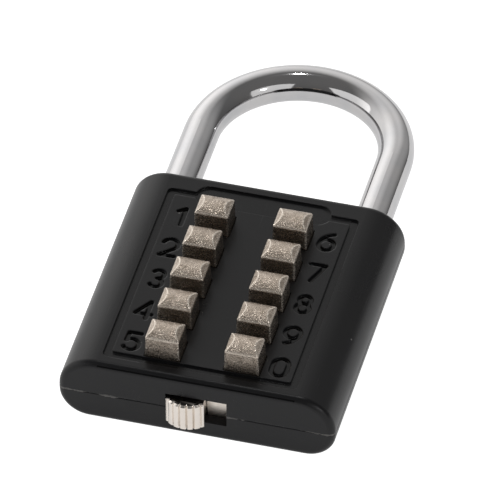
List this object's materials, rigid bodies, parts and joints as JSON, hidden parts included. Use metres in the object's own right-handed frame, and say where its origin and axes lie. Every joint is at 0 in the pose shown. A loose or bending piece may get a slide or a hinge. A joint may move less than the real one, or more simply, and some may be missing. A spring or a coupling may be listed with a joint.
{
  "type": "push-button padlock",
  "caption": "Combination padlock with numbered push keys, a sliding opening knob in the bottom end and a round shackle.",
  "frame": {"origin": "centre of the flat back of the body, in its plane", "axes": "+Z out of the front, along the keys; +Y along the shackle's legs to the bend; +X to the right for someone facing the keys"},
  "size_m": [0.0512, 0.0951, 0.0187],
  "materials": {
    "body_paint": "satin black enamel over zinc die casting",
    "rivet": "flush rivet heads painted over with the body",
    "shackle_chrome": "polished chrome plate on hardened steel",
    "spring_steel": "drawn spring wire and strip",
    "pin_steel": "ground steel pin",
    "slider_plate": "stamped steel, nickel plated",
    "knob_nickel": "bright nickel plated zinc casting",
    "key_nickel": "worn antique nickel on a sandy casting"
  },
  "bodies": {
    "body": {"front_shell": "body_paint", "back_shell": "body_paint", "shell_rivets": "rivet", "heel_spring": "spring_steel", "heel_retaining_pin": "pin_steel", "slider_spring": "spring_steel", "detent_spring_left": "spring_steel", "detent_spring_right": "spring_steel", "button_spring_1": "spring_steel", "button_spring_2": "spring_steel", "button_spring_3": "spring_steel", "button_spring_4": "spring_steel", "button_spring_5": "spring_steel", "button_spring_6": "spring_steel", "button_spring_7": "spring_steel", "button_spring_8": "spring_steel", "button_spring_9": "spring_steel", "button_spring_0": "spring_steel"},
    "slider": {"code_slider": "slider_plate", "slider_knob": "knob_nickel", "knob_pin": "pin_steel"},
    "shackle": {"shackle": "shackle_chrome"},
    "key_1": {"button_1": "key_nickel"},
    "key_2": {"button_2": "key_nickel"},
    "key_3": {"button_3": "key_nickel"},
    "key_4": {"button_4": "key_nickel"},
    "key_5": {"button_5": "key_nickel"},
    "key_6": {"button_6": "key_nickel"},
    "key_7": {"button_7": "key_nickel"},
    "key_8": {"button_8": "key_nickel"},
    "key_9": {"button_9": "key_nickel"},
    "key_0": {"button_0": "key_nickel"}
  },
  "joints": [
    {"name": "button_1_press", "type": "slide", "parent": "body", "child": "key_1", "axis": [0, 0, -1], "range_m": [0, 0.002], "stiffness_N_per_m": 250, "springref_m": -0.002, "deforming": ["button_spring_1"]},
    {"name": "button_2_press", "type": "slide", "parent": "body", "child": "key_2", "axis": [0, 0, -1], "range_m": [0, 0.002], "stiffness_N_per_m": 250, "springref_m": -0.002, "deforming": ["button_spring_2"]},
    {"name": "button_3_press", "type": "slide", "parent": "body", "child": "key_3", "axis": [0, 0, -1], "range_m": [0, 0.002], "stiffness_N_per_m": 250, "springref_m": -0.002, "deforming": ["button_spring_3"]},
    {"name": "button_4_press", "type": "slide", "parent": "body", "child": "key_4", "axis": [0, 0, -1], "range_m": [0, 0.002], "stiffness_N_per_m": 250, "springref_m": -0.002, "deforming": ["button_spring_4"]},
    {"name": "button_5_press", "type": "slide", "parent": "body", "child": "key_5", "axis": [0, 0, -1], "range_m": [0, 0.002], "stiffness_N_per_m": 250, "springref_m": -0.002, "deforming": ["button_spring_5"]},
    {"name": "button_6_press", "type": "slide", "parent": "body", "child": "key_6", "axis": [0, 0, -1], "range_m": [0, 0.002], "stiffness_N_per_m": 250, "springref_m": -0.002, "deforming": ["button_spring_6"]},
    {"name": "button_7_press", "type": "slide", "parent": "body", "child": "key_7", "axis": [0, 0, -1], "range_m": [0, 0.002], "stiffness_N_per_m": 250, "springref_m": -0.002, "deforming": ["button_spring_7"]},
    {"name": "button_8_press", "type": "slide", "parent": "body", "child": "key_8", "axis": [0, 0, -1], "range_m": [0, 0.002], "stiffness_N_per_m": 250, "springref_m": -0.002, "deforming": ["button_spring_8"]},
    {"name": "button_9_press", "type": "slide", "parent": "body", "child": "key_9", "axis": [0, 0, -1], "range_m": [0, 0.002], "stiffness_N_per_m": 250, "springref_m": -0.002, "deforming": ["button_spring_9"]},
    {"name": "button_0_press", "type": "slide", "parent": "body", "child": "key_0", "axis": [0, 0, -1], "range_m": [0, 0.002], "stiffness_N_per_m": 250, "springref_m": -0.002, "deforming": ["button_spring_0"]},
    {"name": "knob_slide", "type": "slide", "parent": "body", "child": "slider", "axis": [1, 0, 0], "range_m": [0, 0.004], "stiffness_N_per_m": 200, "springref_m": -0.002, "deforming": ["slider_spring"]},
    {"name": "shackle_lift", "type": "slide", "parent": "body", "child": "shackle", "axis": [0, 1, 0], "range_m": [0, 0.012], "deforming": ["heel_spring"]}
  ],
  "couplings": [
    {"joint": "shackle_lift", "follows": "knob_slide", "ratio": 3}
  ]
}
